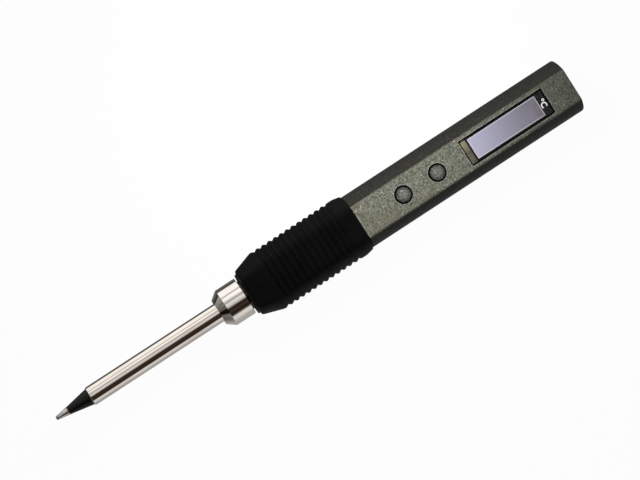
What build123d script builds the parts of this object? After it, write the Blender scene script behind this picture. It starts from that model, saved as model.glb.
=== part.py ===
from build123d import *
from math import atan2, cos, pi, sin, sqrt
import os

# Compact cartridge soldering iron. Millimetres.
# +X runs from the tail to the tip along the iron's axis, +Z points out of the display side.
# The origin is on the axis, at the front edge of the steel collar's cylindrical land.

os.makedirs("parts", exist_ok=True)

# Body cross-section: flat top and bottom, and bulging sides that are arcs of one radius.
# The whole outline is grown or shrunk by an offset along the iron.
BODY_WIDTH = 16.0
BODY_HEIGHT = 15.5
BODY_SIDE_R = 11.0
BODY_CORNER = 1.2
SLEEVE_CORNER = 2.4
SMALLEST_CORNER = 0.4
WALL = 1.5
TOP_Z = BODY_HEIGHT / 2
INNER_TOP_Z = TOP_Z - WALL
INNER_HALF_WIDTH = BODY_WIDTH / 2 - WALL
SIDE_CENTRE_Y = BODY_SIDE_R - BODY_WIDTH / 2

# Stations along the iron
TIP_APEX_X = 54.2
TIP_CONE_REAR_X = 43.6
COLLAR_FRONT_X = 2.3
LAND_REAR_X = -6.0
NOSE_FRONT_X = -6.6
NOSE_CONE_REAR_X = -12.5
CAVITY_FRONT_X = -14.0
SHOULDER_X = -42.0
TAIL_X = -110.9
CAP_RECESS = 0.3
CAP_THICKNESS = 1.5
CAP_INNER_X = TAIL_X + CAP_RECESS + CAP_THICKNESS

# Shell offsets from the body section
NECK_OFFSET = -0.6
NOSE_OFFSET = -1.95
TAIL_EDGE_ROUND = 0.4
SHOULDER_CHAMFER = 0.3

# Ribbed silicone sleeve
SLEEVE_FRONT_X = -7.2
SLEEVE_CONE_REAR_X = -13.2
SLEEVE_FRONT_OFFSET = -1.1
SLEEVE_REAR_OFFSET = 0.35
SLEEVE_REAR_ROUND = 0.2
SLEEVE_FRONT_ROUND = 0.6
RIB_OFFSET = 0.9
VALLEY_OFFSET = 0.4
RIB_ROUND = 0.45
BAND_OFFSET = 0.85
GROOVE_COUNT = 13
GROOVE_FIRST_X = -14.6
GROOVE_PITCH = 1.89
GROOVE_WIDTH = 0.8
REAR_BAND_X = -39.8
REAR_TAPER_MID_X = -41.0
REAR_TAPER_MID_OFFSET = 0.66

# Steel collar and its clamp screw
COLLAR_FRONT_R = 3.75
LAND_R = 5.5
LAND_CHAMFER = 0.15
COLLAR_NECK_R = 4.3
SPIGOT_R = 4.0
SPIGOT_REAR_X = -13.0
COLLAR_BORE_R = 2.8
CLAMP_X = -4.35
CLAMP_R = 1.25
CLAMP_HOLE_R = 1.3
CLAMP_INNER_Z = -2.78
CLAMP_OUTER_Z = -5.3
CLAMP_HEX_SIDE = 0.75
CLAMP_HEX_DEPTH = 1.3

# Heating cartridge
TUBE_R = 2.75
TUBE_BORE_R = 2.3
TUBE_REAR_X = -28.7
TUBE_EDGE = 0.3
TIP_CONE_REAR_R = 2.4
TIP_END_R = 0.5
TIP_END_ROUND = 0.4
PLUG_REAR_X = 37.5
HEATER_R = 1.6
HEATER_FRONT_X = 37.0
HEATER_REAR_X = 12.0
LEAD_R = 0.3
RING_LEAD_Y = 1.3
END_LEAD_Y = -0.6
LEAD_INSET = 2.0
CONTACT_R = 2.6
CONTACT_BORE_R = 1.6
INSULATOR_BORE_R = 1.65
INSULATOR_PLUG_X = -26.7
RING_FRONT_X = -31.7
RING_REAR_X = -38.7
END_CONTACT_FRONT_X = -41.7
END_CONTACT_REAR_X = -50.7
END_CONTACT_R = 2.4
END_CONTACT_CHAMFER = 0.5

# Contact block and its leaf springs
BLOCK_FRONT_X = -24.8
BLOCK_FLOOR_X = -50.8
BLOCK_REAR_X = -52.0
BLOCK_FOOT_X = (-30.3, -50.4)
BLOCK_FOOT_HALF_LENGTH = 1.0
BLOCK_FOOT_HALF_WIDTH = 5.6
BLOCK_FOOT_HEIGHT = 0.8
BLOCK_HALF_WIDTH = 3.8
BLOCK_BOTTOM_Z = -4.6
BLOCK_TOP_Z = 4.2
BLOCK_BORE_R = 2.85
LEAF_THICKNESS = 0.25
LEAF_HALF_WIDTH = 1.5
LEAF_GAP = 0.03
LEAF_TIP_Y = 1.2
LEAF_FOOT_Y = -5.6
POCKET_SIDE_MARGIN = 0.2
POCKET_TIP_MARGIN = 0.4
POCKET_TOP_OVERLAP = 0.6
SPRINGS = {
    "ground": (TUBE_REAR_X + 2.1, TUBE_R),
    "ring": ((RING_FRONT_X + RING_REAR_X) / 2, CONTACT_R),
    "end": ((END_CONTACT_FRONT_X + END_CONTACT_REAR_X) / 2, END_CONTACT_R),
}

# Main board
BOARD_FRONT_X = -23.5
BOARD_REAR_X = CAP_INNER_X + 0.3
BOARD_HALF_WIDTH = 6.0
BOARD_BOTTOM_Z = 1.4
BOARD_TOP_Z = 2.6
BOARD_SLOT_HALF_WIDTH = 4.2
BOARD_SLOT_REAR_X = -53.0
RAIL_INNER_Y = 5.7
RAIL_HEIGHT = 0.6
RAIL_FRONT_X = -20.0

# Parts soldered under the board: (x, y, length, width, height)
CHIPS = {
    "controller_chip": (-82.5, 0, 7.0, 7.0, 0.9),
    "motion_sensor_chip": (-74.5, 2.2, 3.0, 3.0, 0.9),
    "power_mosfet": (-57.0, 2.6, 5.0, 4.0, 1.5),
}
INDUCTOR = (-92.0, 0, 4.0, 4.0, 2.0)
INDUCTOR_CORNER = 0.8
CAPACITOR_COUNT = 4
CAPACITOR_FIRST_X = -60.5
CAPACITOR_PITCH = 3.4
CAPACITOR_Y = -3.6
CAPACITOR_SIZE = (2.0, 1.25, 1.25)

# Push buttons and their switches
BUTTON_X = {"front": -56.1, "rear": -67.0}
BUTTON_HOLE_R = 2.5
BUTTON_R = 2.1
BUTTON_RIM_Z = 8.1
BUTTON_CROWN_Z = 8.55
BUTTON_BOTTOM_Z = 5.0
FLANGE_R = 3.1
FLANGE_BOTTOM_Z = 5.5
FLANGE_TOP_Z = 6.15
SWITCH_SIDE = 4.6
SWITCH_TOP_Z = 4.1
PLUNGER_R = 1.1
PLUNGER_HOLE_R = 1.15
PLUNGER_BOTTOM_Z = 3.8
PLUNGER_HOLE_Z = 3.4

# Display window and display stack
WINDOW_FRONT_X = -76.1
WINDOW_REAR_X = -102.9
WINDOW_HALF_WIDTH = 3.84
WINDOW_CORNER = 0.3
EDGE_BREAK = 0.1
DISPLAY_GAP = 0.38
LENS_TOP_Z = 7.6
LENS_BOTTOM_Z = 6.95
LENS_CHAMFER = 0.08
MASK_THICKNESS = 0.05
MASK_LENGTH = 2.2
POLARIZER_TOP_Z = 6.88
POLARIZER_BOTTOM_Z = 6.7
POLARIZER_FRONT_X = -78.6
POLARIZER_REAR_X = -100.3
POLARIZER_HALF_WIDTH = 3.03
OLED_BOTTOM_Z = 5.4
HOLDER_MARGIN_X = 1.2
HOLDER_HALF_WIDTH = 5.0
HOLDER_TOP_Z = 6.2
HOLDER_SEAT = 1.2
FLEX_THICKNESS = 0.15
FLEX_HALF_WIDTH = 2.2
FLEX_SETBACK = 0.3
FLEX_TOP_LENGTH = 2.0
FLEX_FOOT_LENGTH = 2.5
FOAM_X = (-98.8, -82.8)
FOAM_HALF_WIDTH = 2.2

# Power jack in the tail, for a 5.5 mm plug with a 2.5 mm centre hole
JACK_Z = -2.35
JACK_HALF_WIDTH = 3.6
JACK_EDGE_ROUND = 2.0
JACK_BOTTOM_Z = -6.05
JACK_FRONT_X = CAP_INNER_X + 12.0
JACK_BORE_R = 2.85
JACK_FLOOR_X = CAP_INNER_X + 9.5
JACK_PIN_R = 1.25
JACK_PIN_BASE_R = 1.6
JACK_PIN_TIP_X = CAP_INNER_X + 1.0
JACK_PIN_TIP_ROUND = 0.3
JACK_LEAF_HALF_WIDTH = 1.25
JACK_LEAF_BOTTOM_Z = 0.3
JACK_LEAF_REAR_X = CAP_INNER_X + 1.9
JACK_LEAF_SETBACK = 0.2
JACK_SLOT_MARGIN = 0.1
JACK_SLOT_REAR_MARGIN = 0.3
CAP_JACK_HOLE_R = 3.1

# Micro USB socket above the board
USB_HALF_WIDTH = 3.75
USB_HEIGHT = 2.45
USB_FRONT_X = CAP_INNER_X + 4.7
USB_REAR_X = CAP_INNER_X - 0.6
USB_SHEET = 0.25
USB_CORNER = 0.6
USB_CLEARANCE = 0.25
USB_TONGUE_INSET = 0.6
USB_TONGUE_HALF_WIDTH = 1.85
USB_TONGUE_BELOW = 0.1
USB_TONGUE_ABOVE = 0.5

# Tail cap screws, M1.6 countersunk
SCREW_Y = 4.75
SCREW_Z = -2.35
SCREW_R = 0.8
SCREW_HEAD_R = 1.25
SCREW_HEAD_DEPTH = 0.75
SCREW_REAR_X = TAIL_X + CAP_RECESS
SCREW_FRONT_X = CAP_INNER_X + 5.4
BOSS_INNER_Y = 3.65
BOSS_HALF_HEIGHT = 1.5
BOSS_FRONT_X = CAP_INNER_X + 6.4

# Gaps that let neighbouring pieces come apart
CAP_GAP = 0.05
FIT_GAP = 0.02

# How far a cutting shape runs past the wall it opens
CUT_OVERRUN = 0.5
# How near counts as the same place
SAME_PLACE = 0.01
# How far in from the body's ends the display side's openings start
END_MARGIN = 1.0


def flat_half_width(offset, corner):
    """Half the width of the outline's flat top, where the arc of its corner begins."""
    side = BODY_SIDE_R + offset - corner
    rise = TOP_Z + offset - corner
    return sqrt(side**2 - rise**2) - SIDE_CENTRE_Y


def section(x, offset, corner=BODY_CORNER):
    """The body's outline at station x, grown outward by offset: flats, rounded corners, side arcs."""
    corner = max(corner + offset, SMALLEST_CORNER)
    flat = flat_half_width(offset, corner)
    top = TOP_Z + offset
    corner_z = top - corner
    tilt = atan2(corner_z, flat + SIDE_CENTRE_Y)
    middle_tilt = (tilt + pi / 2) / 2
    join = (flat + corner * cos(tilt), corner_z + corner * sin(tilt))
    middle = (flat + corner * cos(middle_tilt), corner_z + corner * sin(middle_tilt))
    widest = BODY_WIDTH / 2 + offset
    upper = ThreePointArc((flat, top), middle, join)
    side = ThreePointArc(join, (widest, 0), (join[0], -join[1]))
    lower = upper.mirror(Plane.XZ)
    half = [upper, side, lower]
    other_half = [edge.mirror(Plane.YZ) for edge in half]
    flats = [Line((-flat, z), (flat, z)) for z in (-top, top)]
    return Plane.YZ.offset(x) * make_face(half + other_half + flats)


def bar(x_rear, x_front, offset, corner=BODY_CORNER):
    """A straight length of the body's outline."""
    return extrude(section(x_rear, offset, corner), amount=x_front - x_rear)


def taper(*stations, corner=BODY_CORNER):
    """A length whose outline changes from one (x, offset) station to the next."""
    return loft([section(x, offset, corner) for x, offset in stations])


def block(x_range, y_range, z_range):
    """A rectangular block between two corners."""
    low = [min(r) for r in (x_range, y_range, z_range)]
    size = [abs(r[1] - r[0]) for r in (x_range, y_range, z_range)]
    return Pos(*low) * Box(*size, align=(Align.MIN, Align.MIN, Align.MIN))


def rod(x_range, radius, y=0.0, z=0.0):
    """A round bar along X."""
    low, high = sorted(x_range)
    return extrude(Plane.YZ.offset(low) * Pos(y, z) * Circle(radius), amount=high - low)


def post(x, z_range, radius):
    """A round bar along Z, on the iron's centre plane."""
    low, high = sorted(z_range)
    centred = (Align.CENTER, Align.CENTER, Align.MIN)
    return Pos(x, 0, low) * Cylinder(radius, high - low, align=centred)


def turned(*profile):
    """A solid of revolution about the iron's axis, from (x, radius) points."""
    outline = Polyline(*[(x, 0, radius) for x, radius in profile], close=True)
    return revolve(make_face(outline), axis=Axis.X)


def edges_at_x(part, x):
    """The edges of a part that lie wholly in the plane at station x."""
    return part.edges().filter_by_position(Axis.X, x - SAME_PLACE, x + SAME_PLACE)


def neck_core():
    """Outer form of the shell where the sleeve covers it: a tapered nose and a stepped-down neck."""
    nose = taper((NOSE_CONE_REAR_X, NECK_OFFSET), (NOSE_FRONT_X, NOSE_OFFSET))
    return nose + bar(SHOULDER_X, NOSE_CONE_REAR_X, NECK_OFFSET)


def window_cut(margin, z_range):
    """A block with the display window's outline, drawn in by margin on every side."""
    return block(
        (WINDOW_REAR_X + margin, WINDOW_FRONT_X - margin),
        (-WINDOW_HALF_WIDTH + margin, WINDOW_HALF_WIDTH - margin),
        z_range,
    )


# Shell and what closes it


def make_shell():
    body = bar(TAIL_X, SHOULDER_X, 0)
    body = fillet(edges_at_x(body, TAIL_X), TAIL_EDGE_ROUND)
    body = chamfer(edges_at_x(body, SHOULDER_X), SHOULDER_CHAMFER)
    shell = body + neck_core()
    shell -= bar(TAIL_X, CAVITY_FRONT_X, -WALL)
    shell -= rod((CAVITY_FRONT_X, NOSE_FRONT_X), SPIGOT_R + FIT_GAP)
    for side in (-1, 1):
        rail_z = (BOARD_BOTTOM_Z - RAIL_HEIGHT, BOARD_BOTTOM_Z)
        rail_y = (side * RAIL_INNER_Y, side * (INNER_HALF_WIDTH + FIT_GAP))
        shell += block((CAP_INNER_X, RAIL_FRONT_X), rail_y, rail_z)
        boss_y = (side * BOSS_INNER_Y, side * (INNER_HALF_WIDTH + FIT_GAP))
        boss_z = (SCREW_Z - BOSS_HALF_HEIGHT, SCREW_Z + BOSS_HALF_HEIGHT)
        shell += block((CAP_INNER_X, BOSS_FRONT_X), boss_y, boss_z)
        shell -= rod((CAP_INNER_X, SCREW_FRONT_X), SCREW_R, side * SCREW_Y, SCREW_Z)
    through_wall = (INNER_TOP_Z - CUT_OVERRUN, TOP_Z + CUT_OVERRUN)
    window = window_cut(0, through_wall)
    shell -= fillet(window.edges().filter_by(Axis.Z), WINDOW_CORNER)
    for x in BUTTON_X.values():
        shell -= post(x, through_wall, BUTTON_HOLE_R)
    return chamfer(display_side_rims(shell), EDGE_BREAK)


def display_side_rims(shell):
    """The edges of the window and the button holes in the display side's flat."""
    reach = WINDOW_HALF_WIDTH + SAME_PLACE
    rear = TAIL_X + END_MARGIN
    front = SHOULDER_X - END_MARGIN
    rims = []
    for edge in shell.edges().filter_by_position(Axis.Z, TOP_Z - SAME_PLACE, TOP_Z + SAME_PLACE):
        low = edge.bounding_box().min
        high = edge.bounding_box().max
        if -reach < low.Y and high.Y < reach and rear < low.X and high.X < front:
            rims.append(edge)
    return rims


def make_grip_sleeve():
    cone = taper(
        (SLEEVE_CONE_REAR_X, BAND_OFFSET),
        (SLEEVE_FRONT_X, SLEEVE_FRONT_OFFSET),
        corner=SLEEVE_CORNER,
    )
    cone = fillet(edges_at_x(cone, SLEEVE_FRONT_X), SLEEVE_FRONT_ROUND)
    sleeve = cone + bar(REAR_BAND_X, SLEEVE_CONE_REAR_X, VALLEY_OFFSET, SLEEVE_CORNER)
    rear_end = taper(
        (SHOULDER_X, SLEEVE_REAR_OFFSET),
        (REAR_TAPER_MID_X, REAR_TAPER_MID_OFFSET),
        (REAR_BAND_X, BAND_OFFSET),
        corner=SLEEVE_CORNER,
    )
    sleeve += fillet(edges_at_x(rear_end, SHOULDER_X), SLEEVE_REAR_ROUND)
    for index in range(GROOVE_COUNT - 1):
        front = GROOVE_FIRST_X - index * GROOVE_PITCH - GROOVE_WIDTH / 2
        rear = GROOVE_FIRST_X - (index + 1) * GROOVE_PITCH + GROOVE_WIDTH / 2
        rib = bar(rear, front, RIB_OFFSET, SLEEVE_CORNER)
        sleeve += fillet(edges_at_x(rib, rear) + edges_at_x(rib, front), RIB_ROUND)
    front_land_rear = GROOVE_FIRST_X + GROOVE_WIDTH / 2
    sleeve += bar(front_land_rear, SLEEVE_CONE_REAR_X, BAND_OFFSET, SLEEVE_CORNER)
    last_groove = GROOVE_FIRST_X - (GROOVE_COUNT - 1) * GROOVE_PITCH
    rear_land_front = last_groove - GROOVE_WIDTH / 2
    sleeve += bar(REAR_BAND_X, rear_land_front, BAND_OFFSET, SLEEVE_CORNER)
    return sleeve - neck_core()


def make_nose_collar():
    collar = turned(
        (COLLAR_FRONT_X, COLLAR_BORE_R),
        (COLLAR_FRONT_X, COLLAR_FRONT_R),
        (0, LAND_R),
        (LAND_REAR_X + LAND_CHAMFER, LAND_R),
        (LAND_REAR_X, LAND_R - LAND_CHAMFER),
        (LAND_REAR_X, COLLAR_NECK_R),
        (NOSE_FRONT_X, COLLAR_NECK_R),
        (NOSE_FRONT_X, SPIGOT_R),
        (SPIGOT_REAR_X, SPIGOT_R),
        (SPIGOT_REAR_X, COLLAR_BORE_R),
    )
    return collar - post(CLAMP_X, (-LAND_R - CUT_OVERRUN, 0), CLAMP_HOLE_R)


def make_clamp_screw():
    screw = post(CLAMP_X, (CLAMP_OUTER_Z, CLAMP_INNER_Z), CLAMP_R)
    hexagon = Plane.XY.offset(CLAMP_OUTER_Z) * Pos(CLAMP_X, 0) * RegularPolygon(CLAMP_HEX_SIDE, 6)
    return screw - extrude(hexagon, amount=CLAMP_HEX_DEPTH)


def usb_outline(margin):
    """The USB socket's outline across the iron, grown by margin, from the tail forward."""
    width = 2 * (USB_HALF_WIDTH + margin)
    height = USB_HEIGHT + 2 * margin
    middle = BOARD_TOP_Z + USB_HEIGHT / 2
    return Pos(0, middle) * RectangleRounded(width, height, USB_CORNER + margin)


def make_tail_cap():
    cap = bar(TAIL_X + CAP_RECESS, CAP_INNER_X, -WALL - CAP_GAP)
    cap -= rod((TAIL_X, CAP_INNER_X), CAP_JACK_HOLE_R, 0, JACK_Z)
    slot = Plane.YZ.offset(TAIL_X) * usb_outline(USB_CLEARANCE)
    cap -= extrude(slot, amount=CAP_RECESS + CAP_THICKNESS)
    for screw in make_tail_cap_screws():
        cap -= screw
    return cap


def make_tail_cap_screws():
    """Two countersunk screws, as separate solids."""
    driver_slot = block(
        (SCREW_REAR_X, SCREW_REAR_X + SCREW_R / 2),
        (-SCREW_HEAD_R, SCREW_HEAD_R),
        (-SCREW_R / 4, SCREW_R / 4),
    )
    shape = turned(
        (SCREW_REAR_X, 0),
        (SCREW_REAR_X, SCREW_HEAD_R),
        (SCREW_REAR_X + SCREW_HEAD_DEPTH, SCREW_R),
        (SCREW_FRONT_X, SCREW_R),
        (SCREW_FRONT_X, 0),
    )
    shape -= driver_slot
    return [Pos(0, side * SCREW_Y, SCREW_Z) * shape for side in (-1, 1)]


# Heating cartridge


def make_tip_bit():
    """Copper bit: a blunt cone with a rounded end, and a plug held in the tube."""
    bit = turned(
        (TIP_APEX_X, 0),
        (TIP_APEX_X, TIP_END_R),
        (TIP_CONE_REAR_X, TIP_CONE_REAR_R),
        (TIP_CONE_REAR_X, TUBE_BORE_R),
        (PLUG_REAR_X, TUBE_BORE_R),
        (PLUG_REAR_X, 0),
    )
    return fillet(edges_at_x(bit, TIP_APEX_X), TIP_END_ROUND)


def make_tip_tube():
    return turned(
        (TIP_CONE_REAR_X, TUBE_BORE_R),
        (TIP_CONE_REAR_X, TUBE_R - TUBE_EDGE),
        (TIP_CONE_REAR_X - TUBE_EDGE, TUBE_R),
        (TUBE_REAR_X, TUBE_R),
        (TUBE_REAR_X, TUBE_BORE_R),
    )


def make_heater_rod():
    return rod((HEATER_REAR_X, HEATER_FRONT_X), HEATER_R)


def make_heater_leads():
    """Two lead wires, one to the contact ring and one to the end contact."""
    ring_lead = rod((RING_FRONT_X - LEAD_INSET, HEATER_REAR_X), LEAD_R, RING_LEAD_Y - FIT_GAP)
    end_lead = rod((END_CONTACT_FRONT_X - LEAD_INSET, HEATER_REAR_X), LEAD_R, END_LEAD_Y)
    return [ring_lead, end_lead]


def ring(front_x, rear_x, outer_r, bore_r):
    """A plain ring on the iron's axis."""
    return rod((rear_x, front_x), outer_r) - rod((rear_x, front_x), bore_r)


def make_front_insulator():
    """A ceramic spacer with a plug that enters the tube ahead of it."""
    spacer = ring(TUBE_REAR_X, RING_FRONT_X, CONTACT_R, INSULATOR_BORE_R)
    return spacer + ring(INSULATOR_PLUG_X, TUBE_REAR_X, TUBE_BORE_R, INSULATOR_BORE_R)


def make_end_contact():
    contact = rod((END_CONTACT_REAR_X, END_CONTACT_FRONT_X), END_CONTACT_R)
    contact = chamfer(edges_at_x(contact, END_CONTACT_REAR_X), END_CONTACT_CHAMFER)
    lead_hole = (END_CONTACT_FRONT_X - LEAD_INSET, END_CONTACT_FRONT_X)
    return contact - rod(lead_hole, LEAD_R, END_LEAD_Y)


# Contact block inside the neck


def make_contact_spring(x, radius):
    """A leaf that presses up on the cartridge and is soldered to the board beside it."""
    top_z = -radius - LEAF_GAP
    along = (x - LEAF_HALF_WIDTH, x + LEAF_HALF_WIDTH)
    leg_y = (-BLOCK_HALF_WIDTH - LEAF_THICKNESS, -BLOCK_HALF_WIDTH)
    foot_z = (BOARD_TOP_Z, BOARD_TOP_Z + LEAF_THICKNESS)
    arm = block(along, (leg_y[0], LEAF_TIP_Y), (top_z - LEAF_THICKNESS, top_z))
    leg = block(along, leg_y, (top_z - LEAF_THICKNESS, foot_z[1]))
    foot = block(along, (LEAF_FOOT_Y, leg_y[1]), foot_z)
    return arm + leg + foot


def make_contact_block():
    body = block(
        (BLOCK_REAR_X, BLOCK_FRONT_X),
        (-BLOCK_HALF_WIDTH, BLOCK_HALF_WIDTH),
        (BLOCK_BOTTOM_Z, BLOCK_TOP_Z),
    )
    bore = rod((BLOCK_FLOOR_X, BLOCK_FRONT_X), BLOCK_BORE_R)
    body -= bore
    pocket_half = LEAF_HALF_WIDTH + POCKET_SIDE_MARGIN
    for x, radius in SPRINGS.values():
        body -= block(
            (x - pocket_half, x + pocket_half),
            (-BLOCK_HALF_WIDTH, LEAF_TIP_Y + POCKET_TIP_MARGIN),
            (BLOCK_BOTTOM_Z, -radius + POCKET_TOP_OVERLAP),
        )
    foot_z = (BOARD_TOP_Z, BOARD_TOP_Z + BLOCK_FOOT_HEIGHT)
    foot_y = (-BLOCK_FOOT_HALF_WIDTH, BLOCK_FOOT_HALF_WIDTH)
    for x in BLOCK_FOOT_X:
        foot_x = (x - BLOCK_FOOT_HALF_LENGTH, x + BLOCK_FOOT_HALF_LENGTH)
        body += block(foot_x, foot_y, foot_z) - bore
    return body


# Main board and what is soldered to it


def make_main_board():
    board = block(
        (BOARD_REAR_X, BOARD_FRONT_X),
        (-BOARD_HALF_WIDTH, BOARD_HALF_WIDTH),
        (BOARD_BOTTOM_Z, BOARD_TOP_Z),
    )
    return board - block(
        (BOARD_SLOT_REAR_X, BOARD_FRONT_X),
        (-BOARD_SLOT_HALF_WIDTH, BOARD_SLOT_HALF_WIDTH),
        (BOARD_BOTTOM_Z, BOARD_TOP_Z),
    )


def chip_under_board(x, y, length, width, height):
    """A rectangular package soldered under the board, centred on (x, y)."""
    return block(
        (x - length / 2, x + length / 2),
        (y - width / 2, y + width / 2),
        (BOARD_BOTTOM_Z - height, BOARD_BOTTOM_Z),
    )


def make_capacitors():
    """Ceramic capacitors in a row under the board, as separate solids."""
    stations = [CAPACITOR_FIRST_X - CAPACITOR_PITCH * index for index in range(CAPACITOR_COUNT)]
    return [chip_under_board(x, CAPACITOR_Y, *CAPACITOR_SIZE) for x in stations]


def make_inductor():
    coil = chip_under_board(*INDUCTOR)
    return fillet(coil.edges().filter_by(Axis.Z), INDUCTOR_CORNER)


def make_switch(x):
    half = SWITCH_SIDE / 2
    body = block((x - half, x + half), (-half, half), (BOARD_TOP_Z, SWITCH_TOP_Z))
    return body - post(x, (PLUNGER_HOLE_Z, SWITCH_TOP_Z), PLUNGER_HOLE_R)


def make_switch_plunger(x):
    return post(x, (PLUNGER_BOTTOM_Z, BUTTON_BOTTOM_Z), PLUNGER_R)


def make_button(x):
    """A domed cap with a flange that keeps it inside the shell."""
    rise = BUTTON_CROWN_Z - BUTTON_RIM_Z
    dome_r = (BUTTON_R**2 + rise**2) / (2 * rise)
    dome = Pos(x, 0, BUTTON_CROWN_Z - dome_r) * Sphere(dome_r)
    stem = post(x, (BUTTON_BOTTOM_Z, BUTTON_CROWN_Z), BUTTON_R)
    flange = post(x, (FLANGE_BOTTOM_Z, FLANGE_TOP_Z), FLANGE_R)
    return (stem & dome) + flange


# Display


def make_display_holder():
    """A frame on the board that carries the display, shaped to the shell's inside."""
    rear = WINDOW_REAR_X - HOLDER_MARGIN_X
    front = WINDOW_FRONT_X + HOLDER_MARGIN_X
    holder = block(
        (rear, front),
        (-HOLDER_HALF_WIDTH, HOLDER_HALF_WIDTH),
        (BOARD_TOP_Z, HOLDER_TOP_Z),
    )
    holder &= bar(rear, front, -WALL - CAP_GAP)
    holder -= window_cut(DISPLAY_GAP - CAP_GAP, (OLED_BOTTOM_Z, HOLDER_TOP_Z))
    return holder - window_cut(DISPLAY_GAP + HOLDER_SEAT, (BOARD_TOP_Z, OLED_BOTTOM_Z))


def make_oled_glass():
    return window_cut(DISPLAY_GAP, (OLED_BOTTOM_Z, POLARIZER_BOTTOM_Z))


def make_oled_polarizer():
    return block(
        (POLARIZER_REAR_X, POLARIZER_FRONT_X),
        (-POLARIZER_HALF_WIDTH, POLARIZER_HALF_WIDTH),
        (POLARIZER_BOTTOM_Z, POLARIZER_TOP_Z),
    )


def make_display_lens():
    lens = window_cut(DISPLAY_GAP, (LENS_BOTTOM_Z, LENS_TOP_Z))
    return chamfer(lens.faces().sort_by(Axis.Z)[-1].edges(), LENS_CHAMFER)


def make_display_mask():
    """The black printed band under the lens, at its tail end."""
    rear = WINDOW_REAR_X + DISPLAY_GAP
    half_width = WINDOW_HALF_WIDTH - DISPLAY_GAP
    mask_z = (LENS_BOTTOM_Z - MASK_THICKNESS, LENS_BOTTOM_Z)
    return block((rear, rear + MASK_LENGTH), (-half_width, half_width), mask_z)


def make_oled_flex():
    """Ribbon from the underside of the display glass down to the board."""
    front = WINDOW_FRONT_X - DISPLAY_GAP - HOLDER_SEAT - FLEX_SETBACK
    across = (-FLEX_HALF_WIDTH, FLEX_HALF_WIDTH)
    top_z = (OLED_BOTTOM_Z - FLEX_THICKNESS, OLED_BOTTOM_Z)
    foot_z = (BOARD_TOP_Z, BOARD_TOP_Z + FLEX_THICKNESS)
    top = block((front - FLEX_TOP_LENGTH, front), across, top_z)
    drop = block((front - FLEX_THICKNESS, front), across, (BOARD_TOP_Z, OLED_BOTTOM_Z))
    foot = block((front - FLEX_FOOT_LENGTH, front), across, foot_z)
    return top + drop + foot


def make_display_foam():
    return block(FOAM_X, (-FOAM_HALF_WIDTH, FOAM_HALF_WIDTH), (BOARD_TOP_Z, OLED_BOTTOM_Z))


# Sockets in the tail


def make_dc_jack_housing():
    housing = block(
        (CAP_INNER_X, JACK_FRONT_X),
        (-JACK_HALF_WIDTH, JACK_HALF_WIDTH),
        (JACK_BOTTOM_Z, BOARD_BOTTOM_Z),
    )
    housing = fillet(housing.edges().filter_by(Axis.X).group_by(Axis.Z)[0], JACK_EDGE_ROUND)
    housing -= rod((CAP_INNER_X, JACK_FLOOR_X), JACK_BORE_R, 0, JACK_Z)
    housing -= rod((JACK_FLOOR_X, JACK_FRONT_X), JACK_PIN_BASE_R, 0, JACK_Z)
    slot_half_width = JACK_LEAF_HALF_WIDTH + JACK_SLOT_MARGIN
    return housing - block(
        (JACK_LEAF_REAR_X - JACK_SLOT_REAR_MARGIN, JACK_FLOOR_X - JACK_SLOT_MARGIN),
        (-slot_half_width, slot_half_width),
        (JACK_Z, BOARD_BOTTOM_Z),
    )


def make_dc_jack_pin():
    base = rod((JACK_FLOOR_X, JACK_FRONT_X), JACK_PIN_BASE_R, 0, JACK_Z)
    pin = rod((JACK_PIN_TIP_X, JACK_FLOOR_X), JACK_PIN_R, 0, JACK_Z)
    pin = fillet(edges_at_x(pin, JACK_PIN_TIP_X), JACK_PIN_TIP_ROUND)
    return base + pin


def make_dc_jack_spring():
    across = (-JACK_LEAF_HALF_WIDTH, JACK_LEAF_HALF_WIDTH)
    root = JACK_FLOOR_X - JACK_LEAF_SETBACK
    leaf_top = JACK_LEAF_BOTTOM_Z + LEAF_THICKNESS
    leaf = block((JACK_LEAF_REAR_X, root), across, (JACK_LEAF_BOTTOM_Z, leaf_top))
    return leaf + block((root - LEAF_THICKNESS, root), across, (leaf_top, BOARD_BOTTOM_Z))


def make_usb_socket_shell():
    outer = extrude(Plane.YZ.offset(USB_REAR_X) * usb_outline(0), amount=USB_FRONT_X - USB_REAR_X)
    depth = USB_FRONT_X - USB_REAR_X - USB_SHEET
    return outer - extrude(Plane.YZ.offset(USB_REAR_X) * usb_outline(-USB_SHEET), amount=depth)


def make_usb_socket_tongue():
    middle = BOARD_TOP_Z + USB_HEIGHT / 2
    return block(
        (USB_REAR_X + USB_TONGUE_INSET, USB_FRONT_X - USB_SHEET),
        (-USB_TONGUE_HALF_WIDTH, USB_TONGUE_HALF_WIDTH),
        (middle - USB_TONGUE_BELOW, middle + USB_TONGUE_ABOVE),
    )


# Every piece, by name

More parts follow.
